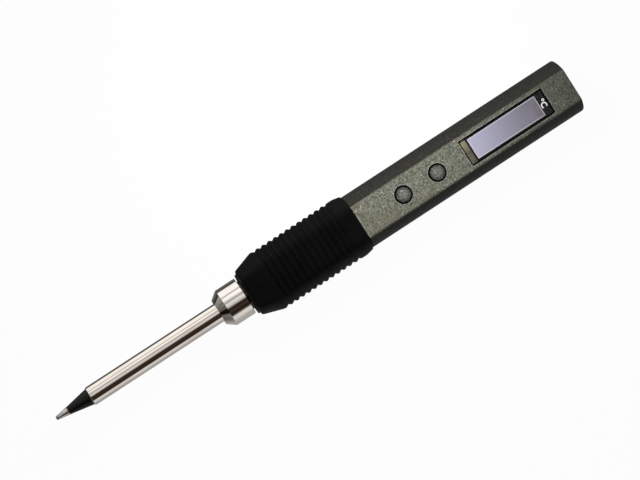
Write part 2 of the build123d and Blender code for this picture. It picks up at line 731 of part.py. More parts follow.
pieces = {
    "shell": make_shell(),
    "grip_sleeve": make_grip_sleeve(),
    "nose_collar": make_nose_collar(),
    "clamp_screw": make_clamp_screw(),
    "tail_cap": make_tail_cap(),
    "tail_cap_screws": make_tail_cap_screws(),
    "tip_bit": make_tip_bit(),
    "tip_tube": make_tip_tube(),
    "heater_rod": make_heater_rod(),
    "heater_leads": make_heater_leads(),
    "front_insulator": make_front_insulator(),
    "contact_ring": ring(RING_FRONT_X, RING_REAR_X, CONTACT_R, CONTACT_BORE_R),
    "rear_insulator": ring(RING_REAR_X, END_CONTACT_FRONT_X, CONTACT_R, INSULATOR_BORE_R),
    "end_contact": make_end_contact(),
    "contact_block": make_contact_block(),
    "main_board": make_main_board(),
    "power_inductor": make_inductor(),
    "capacitors": make_capacitors(),
    "display_holder": make_display_holder(),
    "display_foam": make_display_foam(),
    "oled_glass": make_oled_glass(),
    "oled_polarizer": make_oled_polarizer(),
    "oled_flex": make_oled_flex(),
    "display_lens": make_display_lens(),
    "display_mask": make_display_mask(),
    "dc_jack_housing": make_dc_jack_housing(),
    "dc_jack_pin": make_dc_jack_pin(),
    "dc_jack_spring": make_dc_jack_spring(),
    "usb_socket_shell": make_usb_socket_shell(),
    "usb_socket_tongue": make_usb_socket_tongue(),
}
for name, size in CHIPS.items():
    pieces[name] = chip_under_board(*size)
for name, (x, radius) in SPRINGS.items():
    pieces[name + "_contact_spring"] = make_contact_spring(x, radius)
for name, x in BUTTON_X.items():
    pieces[name + "_button"] = make_button(x)
    pieces[name + "_switch_plunger"] = make_switch_plunger(x)
    pieces[name + "_switch"] = make_switch(x)

for name, piece in pieces.items():
    shape = Compound(children=piece) if isinstance(piece, list) else piece
    export_step(shape, f"parts/{name}.step")
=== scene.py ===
import math

import bmesh
import bpy
from mathutils import Matrix, Vector


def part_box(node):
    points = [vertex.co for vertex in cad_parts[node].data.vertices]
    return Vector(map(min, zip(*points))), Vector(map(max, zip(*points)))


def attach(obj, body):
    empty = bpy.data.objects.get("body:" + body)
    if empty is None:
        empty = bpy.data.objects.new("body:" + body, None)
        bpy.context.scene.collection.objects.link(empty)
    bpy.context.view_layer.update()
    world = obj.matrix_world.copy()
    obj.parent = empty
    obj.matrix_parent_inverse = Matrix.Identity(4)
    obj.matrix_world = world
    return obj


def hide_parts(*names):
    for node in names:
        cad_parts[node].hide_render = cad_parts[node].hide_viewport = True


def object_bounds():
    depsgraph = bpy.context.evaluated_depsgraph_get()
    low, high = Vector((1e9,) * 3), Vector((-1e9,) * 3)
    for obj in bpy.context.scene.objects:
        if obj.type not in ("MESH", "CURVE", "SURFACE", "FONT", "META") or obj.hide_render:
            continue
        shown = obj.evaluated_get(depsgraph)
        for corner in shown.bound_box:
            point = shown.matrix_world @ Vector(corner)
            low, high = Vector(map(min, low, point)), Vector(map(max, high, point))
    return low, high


# Looks of the soldering iron. Metres; +X points to the tip and +Z out of the display side.
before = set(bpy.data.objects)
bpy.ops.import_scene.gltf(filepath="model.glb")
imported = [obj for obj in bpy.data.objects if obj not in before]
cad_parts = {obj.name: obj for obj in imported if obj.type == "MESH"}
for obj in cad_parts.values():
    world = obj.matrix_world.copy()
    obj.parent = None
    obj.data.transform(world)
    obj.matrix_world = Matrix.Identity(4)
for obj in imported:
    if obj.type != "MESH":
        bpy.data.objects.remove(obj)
cad_low, cad_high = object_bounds()

MM = 0.001

# Camera, a long lens nearly above the iron, which lies at a slant in the picture
CAMERA_PLACE = Vector((23.9, -51.0, 700.0)) * MM
CAMERA_TARGET = Vector((-31.24, -1.5, 0.0)) * MM
CAMERA_LENS = 146.6
CAMERA_SENSOR = 36.0
CAMERA_ROLL = math.radians(-122.9)

# Body section, which the sleeve follows: flats above and below, and sides that are arcs
shell_low, shell_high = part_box("shell")
BODY_HALF_WIDTH = shell_high.y
BODY_HALF_HEIGHT = shell_high.z
BODY_SIDE_RADIUS = 11.0 * MM
SIDE_CENTRE_Y = BODY_SIDE_RADIUS - BODY_HALF_WIDTH
SLEEVE_CORNER = 2.4 * MM
NECK_OFFSET = -0.6 * MM
NOSE_OFFSET = -1.95 * MM
NOSE_FRONT_X = shell_high.x
NOSE_CONE_LENGTH = 5.9 * MM
SECTION_STEPS = 10

# Sleeve outline, as offsets from the body section
sleeve_low, sleeve_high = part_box("grip_sleeve")
SLEEVE_FRONT_X = sleeve_high.x
SLEEVE_REAR_X = sleeve_low.x
SLEEVE_FRONT_OFFSET = -1.1 * MM
SLEEVE_REAR_OFFSET = 0.38 * MM
SLEEVE_CONE_LENGTH = 6.0 * MM
BAND_OFFSET = 0.85 * MM
RIB_OFFSET = sleeve_high.z - BODY_HALF_HEIGHT
VALLEY_OFFSET = 0.4 * MM
GROOVE_FIRST_X = SLEEVE_FRONT_X - 7.4 * MM
GROOVE_PITCH = 1.89 * MM
GROOVE_COUNT = 13
GROOVE_END_SHARE = 0.85
RIB_FULLNESS = 0.75
RIB_STEPS = 16
REAR_BAND_LENGTH = 2.2 * MM
SLEEVE_CLEARANCE = 0.01 * MM

# Turned parts: the collar with its land, the cartridge's tube, and the bit with its tinned end
LAND_REAR_X = -6.0 * MM
COLLAR_FRONT_RADIUS = 3.75 * MM
COLLAR_NECK_RADIUS = 4.3 * MM
COLLAR_SPIGOT_RADIUS = 4.0 * MM
COLLAR_CLEARANCE = 0.05 * MM
SCREW_HOLE_RADIUS = 1.3 * MM
TUBE_WALL = 0.45 * MM
TUBE_CHAMFER = 0.3 * MM
TINNED_REAR_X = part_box("tip_bit")[1].x - 3.8 * MM
TINNED_REAR_RADIUS = 1.14 * MM
TIP_END_RADIUS = 0.52 * MM
TURNED_SEGMENTS = 128
ARC_STEPS = 6
SHARP_ANGLE = math.radians(35)

# The body's coating is lighter from the sleeve back to here, and darkens with painted shade from here to
# the tail
TAIL_SHADE_FROM_X = -80.0 * MM


# Mesh building


def rounded(corners):
    """The (x, y) points of an outline whose (x, y, radius) corners become arcs."""
    points = []
    for index, (x, y, radius) in enumerate(corners):
        corner = Vector((x, y))
        if radius == 0:
            points.append(corner)
            continue
        before = (Vector(corners[index - 1][:2]) - corner).normalized()
        after = (Vector(corners[(index + 1) % len(corners)][:2]) - corner).normalized()
        half_angle = before.angle(after) / 2
        centre = corner + (before + after).normalized() * radius / math.sin(half_angle)
        start = corner + before * radius / math.tan(half_angle) - centre
        end = corner + after * radius / math.tan(half_angle) - centre
        for step in range(ARC_STEPS + 1):
            spoke = start.lerp(end, step / ARC_STEPS).normalized() * radius
            points.append(centre + spoke)
    return points


def circle_ring(x, radius):
    """Points round the iron's axis at station x."""
    turns = [2 * math.pi * step / TURNED_SEGMENTS for step in range(TURNED_SEGMENTS)]
    return [(x, radius * math.cos(turn), radius * math.sin(turn)) for turn in turns]


def body_ring(x, offset):
    """The body's section at station x, grown by offset: flats, rounded corners and side arcs."""
    corner = SLEEVE_CORNER + offset
    side = BODY_SIDE_RADIUS + offset
    corner_z = BODY_HALF_HEIGHT + offset - corner
    corner_y = math.sqrt((side - corner) ** 2 - corner_z ** 2) - SIDE_CENTRE_Y
    tilt = math.atan2(corner_z, corner_y + SIDE_CENTRE_Y)
    quarter = []
    for step in range(SECTION_STEPS):
        turn = tilt * step / SECTION_STEPS
        quarter.append((side * math.cos(turn) - SIDE_CENTRE_Y, side * math.sin(turn)))
    for step in range(SECTION_STEPS + 1):
        turn = tilt + (math.pi / 2 - tilt) * step / SECTION_STEPS
        quarter.append((corner_y + corner * math.cos(turn), corner_z + corner * math.sin(turn)))
    upper = quarter + [(-y, z) for y, z in reversed(quarter)]
    lower = [(y, -z) for y, z in reversed(upper[1:-1])]
    return [(x, y, z) for y, z in upper + lower]


def finished_object(name, builder):
    """A smooth-shaded object, with real edges kept sharp, from a bmesh."""
    bmesh.ops.recalc_face_normals(builder, faces=builder.faces)
    mesh = bpy.data.meshes.new(name)
    builder.to_mesh(mesh)
    builder.free()
    mesh.shade_smooth()
    mesh.set_sharp_from_angle(angle=SHARP_ANGLE)
    piece = bpy.data.objects.new(name, mesh)
    bpy.context.scene.collection.objects.link(piece)
    return piece


def swept(name, outline, ring_at):
    """A closed mesh through an outline of (x, size) points. A size of nought is a point on the axis."""
    builder = bmesh.new()
    rings = []
    for x, size in outline:
        places = ring_at(x, size) if size or ring_at is body_ring else [(x, 0, 0)]
        rings.append([builder.verts.new(point) for point in places])
    for near, far in zip(rings, rings[1:] + rings[:1]):
        for index in range(max(len(near), len(far))):
            corners = [
                near[index % len(near)],
                near[(index + 1) % len(near)],
                far[(index + 1) % len(far)],
                far[index % len(far)],
            ]
            corners = list(dict.fromkeys(corners))
            if len(corners) > 2:
                builder.faces.new(corners)
    return finished_object(name, builder)


def mount_piece(piece, body, slot, *nodes):
    """Puts a new piece on its body and hides the CAD nodes that it stands for. Its slot argument is not
    used.
    """
    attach(piece, body)
    if nodes:
        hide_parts(*nodes)
    return piece


# Finer pieces


def make_grip_sleeve():
    """Silicone sleeve with rounded ribs, a cone in front and a soft shoulder behind."""
    cone_rear = SLEEVE_FRONT_X - SLEEVE_CONE_LENGTH
    last_groove = GROOVE_FIRST_X - (GROOVE_COUNT - 1) * GROOVE_PITCH
    half_groove = GROOVE_PITCH / 2 * GROOVE_END_SHARE
    # The first corner only gives the second its direction, so the sweep leaves it out
    front = rounded([
        (SLEEVE_FRONT_X, SLEEVE_FRONT_OFFSET - 0.7 * MM, 0),
        (SLEEVE_FRONT_X, SLEEVE_FRONT_OFFSET, 0.6 * MM),
        (cone_rear, BAND_OFFSET, 1.5 * MM),
        (GROOVE_FIRST_X + half_groove, BAND_OFFSET, 0),
    ])
    ribs = []
    steps = (GROOVE_COUNT - 1) * RIB_STEPS
    for step in range(steps + 1):
        wave = 0.5 - 0.5 * math.cos(2 * math.pi * step / RIB_STEPS)
        height = VALLEY_OFFSET + (RIB_OFFSET - VALLEY_OFFSET) * wave ** RIB_FULLNESS
        ribs.append(Vector((GROOVE_FIRST_X - GROOVE_PITCH * step / RIB_STEPS, height)))
    rear = rounded([
        (last_groove - half_groove, BAND_OFFSET, 0),
        (SLEEVE_REAR_X + REAR_BAND_LENGTH, BAND_OFFSET, 1.5 * MM),
        (SLEEVE_REAR_X, SLEEVE_REAR_OFFSET, 0.25 * MM),
        (SLEEVE_REAR_X, NECK_OFFSET + SLEEVE_CLEARANCE, 0),
    ])
    nose_share = (NOSE_FRONT_X - SLEEVE_FRONT_X) / NOSE_CONE_LENGTH
    nose_offset = NOSE_OFFSET + nose_share * (NECK_OFFSET - NOSE_OFFSET)
    inside = [
        Vector((NOSE_FRONT_X - NOSE_CONE_LENGTH, NECK_OFFSET + SLEEVE_CLEARANCE)),
        Vector((SLEEVE_FRONT_X, nose_offset + SLEEVE_CLEARANCE)),
    ]
    return swept("grip_sleeve_soft", front[1:] + ribs + rear + inside, body_ring)


def make_nose_collar():
    """Turned steel collar, with the clamp screw's hole cut through its underside."""
    low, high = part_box("nose_collar")
    land_radius = high.y
    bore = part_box("tip_tube")[1].y + COLLAR_CLEARANCE
    outline = rounded([
        (high.x, bore, 0.1 * MM),
        (high.x, COLLAR_FRONT_RADIUS, 0.12 * MM),
        (0, land_radius, 0.2 * MM),
        (LAND_REAR_X, land_radius, 0.15 * MM),
        (LAND_REAR_X, COLLAR_NECK_RADIUS, 0),
        (NOSE_FRONT_X, COLLAR_NECK_RADIUS, 0),
        (NOSE_FRONT_X, COLLAR_SPIGOT_RADIUS, 0),
        (low.x, COLLAR_SPIGOT_RADIUS, 0),
        (low.x, bore, 0),
    ])
    collar = swept("nose_collar_turned", outline, circle_ring)
    screw_low, screw_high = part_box("clamp_screw")
    cutter = make_hole_cutter((screw_low + screw_high) / 2, SCREW_HOLE_RADIUS, land_radius)
    cut = collar.modifiers.new("screw_hole", "BOOLEAN")
    cut.object = cutter
    cut.operation = "DIFFERENCE"
    graph = bpy.context.evaluated_depsgraph_get()
    collar.data = bpy.data.meshes.new_from_object(collar.evaluated_get(graph))
    collar.modifiers.clear()
    collar.data.set_sharp_from_angle(angle=SHARP_ANGLE)
    bpy.data.objects.remove(cutter)
    return collar


def make_hole_cutter(centre, radius, depth):
    """A round bar that runs down from the iron's axis at the screw, for cutting its hole."""
    builder = bmesh.new()
    bmesh.ops.create_cone(
        builder, cap_ends=True, segments=64, radius1=radius, radius2=radius, depth=2 * depth,
        matrix=Matrix.Translation((centre.x, centre.y, -depth)),
    )
    return finished_object("hole_cutter", builder)


def make_tip_tube():
    """Polished tube, open at both ends and chamfered in front."""
    low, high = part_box("tip_tube")
    radius = high.y
    bore = radius - TUBE_WALL
    return swept("tip_tube_polished", rounded([
        (high.x, bore, 0),
        (high.x, radius - TUBE_CHAMFER, 0.08 * MM),
        (high.x - TUBE_CHAMFER, radius, 0.15 * MM),
        (low.x, radius, 0.05 * MM),
        (low.x, bore, 0),
    ]), circle_ring)


def make_tip_bit():
    """Blunt cone whose tinned end stands very slightly proud of the coated part."""
    low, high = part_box("tip_bit")
    cone_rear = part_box("tip_tube")[1].x
    cone_radius = high.y
    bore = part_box("tip_tube")[1].y - TUBE_WALL
    return swept("tip_bit_tinned", rounded([
        (high.x, 0, 0),
        (high.x, TIP_END_RADIUS, 0.4 * MM),
        (TINNED_REAR_X, TINNED_REAR_RADIUS, 1.0 * MM),
        (cone_rear, cone_radius, 0.06 * MM),
        (cone_rear, bore, 0),
        (low.x, bore, 0),
        (low.x, 0, 0),
    ]), circle_ring)


def make_temperature_mark():
    """A generic degree-Celsius mark, printed on the band at the display's tail end."""
    low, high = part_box("display_mask")
    centre = (low + high) / 2
    top = high.z
    stroke = 0.34 * MM
    degree_stroke = stroke / 1.4
    letter_radius = 0.72 * MM
    degree_radius = 0.27 * MM
    letter_y = centre.y + 0.55 * MM
    degree_y = centre.y - 0.85 * MM
    builder = bmesh.new()
    gap = math.radians(42)
    add_arc(builder, centre.x, letter_y, letter_radius, gap, 2 * math.pi - gap, stroke, top)
    rise = letter_radius - degree_radius
    add_arc(builder, centre.x - rise, degree_y, degree_radius, 0, 2 * math.pi, degree_stroke, top)
    return finished_object("temperature_mark", builder)


def add_arc(builder, x, y, radius, start, end, stroke, top):
    """A flat printed arc on the display side. Its angles run from +Y, and its top is towards the tail."""
    steps = 40
    thickness = 0.004 * MM
    rings = []
    for step in range(steps + 1):
        turn = start + (end - start) * step / steps
        outward = Vector((-math.sin(turn), math.cos(turn), 0))
        inner = Vector((x, y, top)) + outward * (radius - stroke / 2)
        outer = Vector((x, y, top)) + outward * (radius + stroke / 2)
        lift = Vector((0, 0, thickness))
        rings.append([builder.verts.new(p) for p in (inner, outer, outer + lift, inner + lift)])
    for near, far in zip(rings, rings[1:]):
        for index in range(4):
            after = (index + 1) % 4
            builder.faces.new((near[index], near[after], far[after], far[index]))
    if end - start < 2 * math.pi:
        builder.faces.new(rings[0])
        builder.faces.new(rings[-1])
    else:
        bmesh.ops.remove_doubles(builder, verts=rings[0] + rings[-1], dist=thickness / 10)


# Materials


def srgb(red, green, blue):
    """A linear colour from 0 to 255 display values."""
    shares = [value / 255 for value in (red, green, blue)]
    linear = [s / 12.92 if s <= 0.04045 else ((s + 0.055) / 1.055) ** 2.4 for s in shares]
    return (*linear, 1.0)


class Surface:
    """A material being made: one Principled shader and the nodes that feed it."""

    def __init__(self, name, **values):
        self.material = bpy.data.materials.new(name)
        self.material.use_nodes = True
        self.tree = self.material.node_tree
        self.shader = self.tree.nodes["Principled BSDF"]
        self.position = self.add("ShaderNodeTexCoord").outputs["Object"]
        self.normal = None
        for socket, value in values.items():
            self.shader.inputs[socket.replace("_", " ")].default_value = value

    def add(self, kind, inputs=None, **settings):
        """A node of that kind, with its settings, and its inputs linked or set."""
        node = self.tree.nodes.new(kind)
        for name, value in settings.items():
            setattr(node, name, value)
        for name, value in (inputs or {}).items():
            if isinstance(value, bpy.types.NodeSocket):
                self.tree.links.new(value, node.inputs[name])
            else:
                node.inputs[name].default_value = value
        return node

    def feed(self, socket, value):
        self.tree.links.new(value, self.shader.inputs[socket])

    def noise(self, grain, detail=3.0, stretch=(1, 1, 1)):
        """Cloudy noise from 0 to 1, with features about grain across."""
        mapping = self.add("ShaderNodeMapping", {"Vector": self.position, "Scale": stretch})
        inputs = {"Vector": mapping.outputs[0], "Scale": 1 / grain, "Detail": detail}
        return self.add("ShaderNodeTexNoise", inputs).outputs[0]

    def cells(self, grain):
        """Distance from the middles of random cells about grain across, 0 in each middle."""
        inputs = {"Vector": self.position, "Scale": 1 / grain}
        return self.add("ShaderNodeTexVoronoi", inputs).outputs["Distance"]

    def facing(self, axis):
        """How far the surface faces along X, Y or Z, from -1 to 1."""
        normal = self.add("ShaderNodeTexCoord").outputs["Normal"]
        return self.add("ShaderNodeSeparateXYZ", {0: normal}).outputs[axis]

    def along(self, axis):
        """The place along X, Y or Z, in metres."""
        return self.add("ShaderNodeSeparateXYZ", {0: self.position}).outputs[axis]

    def mapped(self, value, low, high, out_low=0.0, out_high=1.0):
        """Value from low to high, turned into out_low to out_high and clamped."""
        names = ("Value", "From Min", "From Max", "To Min", "To Max")
        inputs = dict(zip(names, (value, low, high, out_low, out_high)))
        return self.add("ShaderNodeMapRange", inputs).outputs[0]

    def math(self, operation, first, second=0.0):
        return self.add("ShaderNodeMath", {0: first, 1: second}, operation=operation).outputs[0]

    def mix(self, share, first, second):
        """A colour between two, by share. A mix's colours are sockets 6 and 7, and its result is 2."""
        node = self.add("ShaderNodeMix", {"Factor": share}, data_type="RGBA")
        for socket, value in zip((node.inputs[6], node.inputs[7]), (first, second)):
            if isinstance(value, bpy.types.NodeSocket):
                self.tree.links.new(value, socket)
            else:
                socket.default_value = value
        return node.outputs[2]

    def bump(self, height, depth, strength=1.0):
        """Relief of that depth where height goes from 0 to 1, added to any before it."""
        inputs = {"Height": height, "Distance": depth, "Strength": strength}
        if self.normal is not None:
            inputs["Normal"] = self.normal
        self.normal = self.add("ShaderNodeBump", inputs).outputs[0]
        self.feed("Normal", self.normal)

    def edges(self, width):
        """1 on edges of the shape and 0 on its flats."""
        soft = self.add("ShaderNodeBevel", {"Radius": width}, samples=6).outputs[0]
        true = self.add("ShaderNodeNewGeometry").outputs["Normal"]
        match = self.add("ShaderNodeVectorMath", {0: soft, 1: true}, operation="DOT_PRODUCT")
        return self.mapped(match.outputs["Value"], 0.995, 0.93)


def painted_metal(name, base, light, edge_highlight_and_shade, shade_slopes, shade_below):
    """Dark textured coating: a fine hammered grain with bright specks, and edges in a given colour:
    a painted highlight on the shell, painted shade on the buttons.

    It is lighter where it faces up or down, and darkened with painted shade where it is sloping:
    the slope pair gives how far it still faces up or down at the two ends of that change. All that
    lies nearer to the iron's axis in Z than the last argument is painted black, as painted shade
    in the buttons' gaps. With 0 nothing is. Towards the tail end it darkens with painted shade.
    """
    paint = Surface(name, Metallic=0.1, IOR=1.5, Specular_IOR_Level=0.2)
    grain = paint.noise(0.4 * MM, 4.0)
    tint = paint.noise(6.0 * MM, 2.0)
    speck = paint.mapped(paint.cells(0.8 * MM), 0.32, 0.14)
    chosen = paint.mapped(paint.noise(1.3 * MM, 1.0), 0.53, 0.6)
    speck = paint.math("MULTIPLY", speck, chosen)
    colour = paint.mix(paint.mapped(grain, 0.36, 0.64), base, light)
    warm = srgb(112, 108, 88)
    colour = paint.mix(paint.mapped(tint, 0.45, 0.7, 0.0, 0.3), colour, warm)
    colour = paint.mix(paint.math("MULTIPLY", speck, 0.7), colour, srgb(215, 215, 204))
    facing = paint.math("ABSOLUTE", paint.facing("Z"))
    # Painted shade: sloping faces are darkened towards a near-black brown
    colour = paint.mix(paint.mapped(facing, *shade_slopes, 0.0, 0.9), colour, srgb(20, 18, 17))
    # Painted shade: the coating darkens from here towards the tail end
    tail_shade = paint.mapped(paint.along("X"), TAIL_SHADE_FROM_X, shell_low.x, 0.0, 0.42)
    colour = paint.mix(tail_shade, colour, srgb(40, 42, 40))
    height = paint.math("ABSOLUTE", paint.along("Z"))
    # Painted shade: below this height, in the buttons' gaps, the paint is black
    colour = paint.mix(paint.mapped(height, shade_below - 0.1 * MM, shade_below, 0.97, 0.0), colour, srgb(3, 3, 3))
    bare_nose = paint.mapped(paint.along("X"), SLEEVE_REAR_X + 2 * MM, SLEEVE_REAR_X + 3 * MM)
    colour = paint.mix(bare_nose, colour, srgb(16, 15, 15))
    # Painted highlight and shade on edges: a near-white highlight on the shell, near-black shade on the
    # buttons
    painted_edge = paint.math("MULTIPLY", paint.edges(0.3 * MM), paint.mapped(grain, 0.3, 0.6, 0.35, 1.0))
    painted_edge = paint.math("MULTIPLY", painted_edge, paint.mapped(facing, 0.75, 0.95))
    painted_edge = paint.math("MULTIPLY", painted_edge, paint.mapped(height, shade_below, shade_below + 0.1 * MM))
    painted_edge = paint.math("MULTIPLY", painted_edge, paint.mapped(bare_nose, 0, 1, 1, 0))
    paint.feed("Base Color", paint.mix(painted_edge, colour, edge_highlight_and_shade))
    paint.feed("Roughness", paint.mapped(grain, 0.3, 0.7, 0.62, 0.48))
    paint.bump(grain, 0.06 * MM, 0.7)
    paint.bump(speck, 0.02 * MM, 0.5)
    return paint.material


def silicone():
    """Matt black rubber, faintly blue, with uneven gloss and a dusting of fine lint."""
    rubber = Surface("silicone", IOR=1.41, Specular_IOR_Level=0.12)
    skin = rubber.noise(0.12 * MM, 3.0)
    patch = rubber.noise(5.0 * MM, 2.0)
    dust = rubber.mapped(rubber.noise(0.25 * MM, 1.0), 0.72, 0.8)
    colour = rubber.mix(rubber.mapped(patch, 0.3, 0.7), srgb(7, 7, 8), srgb(12, 12, 14))
    rubber.feed("Base Color", rubber.mix(rubber.math("MULTIPLY", dust, 0.2), colour, srgb(60, 60, 64)))
    rubber.feed("Roughness", rubber.mapped(patch, 0.3, 0.7, 0.5, 0.62))
    rubber.bump(skin, 0.01 * MM, 0.5)
    return rubber.material


def turned_steel(name, colour, low_roughness, high_roughness, line, bright_from):
    """Bright steel with fine lathe lines round the axis and faint smears.

    It is dark brown to the rear of the station bright_from.
    """
    steel = Surface(name, Metallic=1.0)
    lines = steel.noise(line, 2.0, (1, 0.02, 0.02))
    smear = steel.noise(2.5 * MM, 3.0, (0.3, 1, 1))
    darker = (colour[0] * 0.86, colour[1] * 0.85, colour[2] * 0.83, 1.0)
    clean = steel.mix(steel.mapped(smear, 0.3, 0.7), darker, colour)
    # Dark brown to the rear of bright_from
    dark_rear = steel.mapped(steel.along("X"), bright_from, bright_from - 0.1 * MM)
    steel.feed("Base Color", steel.mix(dark_rear, clean, srgb(58, 48, 42)))
    worn = steel.math("MULTIPLY", lines, steel.mapped(smear, 0.3, 0.7, 0.8, 1.2))
    steel.feed("Roughness", steel.mapped(worn, 0.3, 0.7, low_roughness, high_roughness))
    steel.bump(lines, 0.001 * MM, 0.12)
    return steel.material


def tinned_tip():
    """Bright uneven solder on the point, black coating behind it."""
    tip = Surface("tinned_tip", Specular_IOR_Level=0.2)
    wander = tip.mapped(tip.noise(0.8 * MM, 2.0), 0.3, 0.7, -0.1 * MM, 0.1 * MM)
    reach = tip.math("ADD", tip.along("X"), wander)
    edge = 0.05 * MM
    tinned = tip.mapped(reach, TINNED_REAR_X - edge, TINNED_REAR_X + edge)
    flow = tip.noise(0.7 * MM, 3.0, (0.5, 1, 1))
    solder = tip.mix(tip.mapped(flow, 0.3, 0.7), srgb(150, 143, 140), srgb(224, 219, 216))
    dull_from = TINNED_REAR_X + 2.8 * MM
    dull_full = TINNED_REAR_X + 3.7 * MM
    dull = tip.mapped(tip.along("X"), dull_from, dull_full, 0.0, 0.7)
    solder = tip.mix(dull, solder, srgb(84, 78, 74))
    coating = tip.mix(tip.mapped(flow, 0.35, 0.7), srgb(10, 9, 9), srgb(24, 22, 21))
    tip.feed("Base Color", tip.mix(tinned, coating, solder))
    tip.feed("Metallic", tinned)
    tip.feed("Roughness", tip.mapped(tinned, 0, 1, 0.34, 0.24))
    tip.bump(flow, 0.012 * MM, 0.3)
    tip.bump(tinned, 0.02 * MM, 0.6)
    return tip.material


def plain_finish(name, first, second, grain, rough, metallic=0.0, depth=0.01, stretch=(1, 1, 1)):
    """A small part's finish: two close colours, uneven roughness and fine relief."""
    finish = Surface(name, Metallic=metallic)
    cloud = finish.noise(grain, 3.0, stretch)
    fine = finish.noise(grain / 6, 2.0, stretch)
    finish.feed("Base Color", finish.mix(finish.mapped(cloud, 0.35, 0.65), first, second))
    finish.feed("Roughness", finish.mapped(fine, 0.3, 0.7, rough - 0.07, rough + 0.07))
    finish.bump(fine, depth * MM, 0.4)
    return finish.material


def clear_lens():
    """Clear window: shows what is under it, with a surface reflection and faint smudges."""
    lens = Surface("clear_lens")
    tree = lens.tree
    tree.nodes.remove(lens.shader)
    smudge = lens.noise(3.0 * MM, 3.0)
    clear = lens.add("ShaderNodeBsdfTransparent")
    gloss = lens.add("ShaderNodeBsdfGlossy", {"Roughness": lens.mapped(smudge, 0.3, 0.7, 0.02, 0.09)})
    inside = lens.add("ShaderNodeNewGeometry").outputs["Backfacing"]
    outside = lens.math("SUBTRACT", 1.0, inside)
    reflected = lens.math("MULTIPLY", lens.add("ShaderNodeFresnel", {"IOR": 1.2}).outputs[0], outside)
    mixed = lens.add("ShaderNodeMixShader", {0: reflected, 1: clear.outputs[0], 2: gloss.outputs[0]})
    output = tree.nodes["Material Output"]
    tree.links.new(mixed.outputs[0], output.inputs["Surface"])
    return lens.material


def polarizer_film():
    """Pale lilac film, with painted shade that darkens it from the tip end to the tail end, and a thin
    bright cut edge.
    """
    film = Surface("polarizer_film", Coat_Weight=0.2, Coat_Roughness=0.1)
    low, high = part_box("oled_polarizer")
    # Painted shade: the film darkens from its tip end towards its tail end
    share = film.mapped(film.along("X"), low.x, high.x)
    cloud = film.noise(4.0 * MM, 2.0)
    colour = film.mix(share, srgb(114, 110, 119), srgb(180, 179, 201))
    colour = film.mix(film.mapped(cloud, 0.4, 0.7, 0.0, 0.2), colour, srgb(156, 149, 172))
    middle = (low + high) / 2
    from_middle_x = film.math("ABSOLUTE", film.math("SUBTRACT", film.along("X"), middle.x))
    from_middle_y = film.math("ABSOLUTE", film.math("SUBTRACT", film.along("Y"), middle.y))
    near_end = film.math("SUBTRACT", from_middle_x, high.x - middle.x)
    near_side = film.math("SUBTRACT", from_middle_y, high.y - middle.y)
    border = film.mapped(film.math("MAXIMUM", near_end, near_side), -0.34 * MM, -0.14 * MM)
    film.feed("Base Color", film.mix(film.math("MULTIPLY", border, 0.6), colour, srgb(226, 222, 228)))
    film.feed("Roughness", film.mapped(cloud, 0.3, 0.7, 0.3, 0.42))
    film.bump(cloud, 0.01 * MM, 0.3)
    return film.material


def display_glass():
    """Dark display glass, with the olive ledge of fine conductor lines at its tip end, which turns to a
    painted gold reflection towards -Y.
    """
    glass = Surface("display_glass", Specular_IOR_Level=0.3)
    ledge_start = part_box("oled_polarizer")[1].x
    ledge_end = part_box("oled_glass")[1].x
    line = glass.math("SINE", glass.math("MULTIPLY", glass.along("Y"), 2 * math.pi / (0.3 * MM)))
    cloud = glass.noise(2.5 * MM, 2.0)
    olive = glass.mix(glass.mapped(cloud, 0.35, 0.65), srgb(92, 90, 76), srgb(118, 115, 98))
    # Painted reflection: the olive ledge turns brighter gold towards -Y
    corner = glass.mapped(glass.along("Y"), 0.2 * MM, -3.0 * MM, 0.0, 0.9)
    gold = glass.mix(corner, olive, srgb(176, 166, 128))
    traces = glass.mix(glass.mapped(line, 0.0, 0.6, 0.0, 0.3), gold, srgb(74, 73, 62))
    on_ledge = glass.mapped(glass.along("X"), ledge_start + 0.4 * MM, ledge_start + 0.7 * MM)
    near_end = glass.mapped(glass.along("X"), ledge_start, ledge_end, 0.55, 1.0)
    on_ledge = glass.math("MULTIPLY", on_ledge, near_end)
    glass.feed("Base Color", glass.mix(on_ledge, srgb(20, 19, 22), traces))
    glass.feed("Roughness", glass.mapped(cloud, 0.3, 0.7, 0.18, 0.3))
    glass.bump(line, 0.003 * MM, 0.2)
    return glass.material


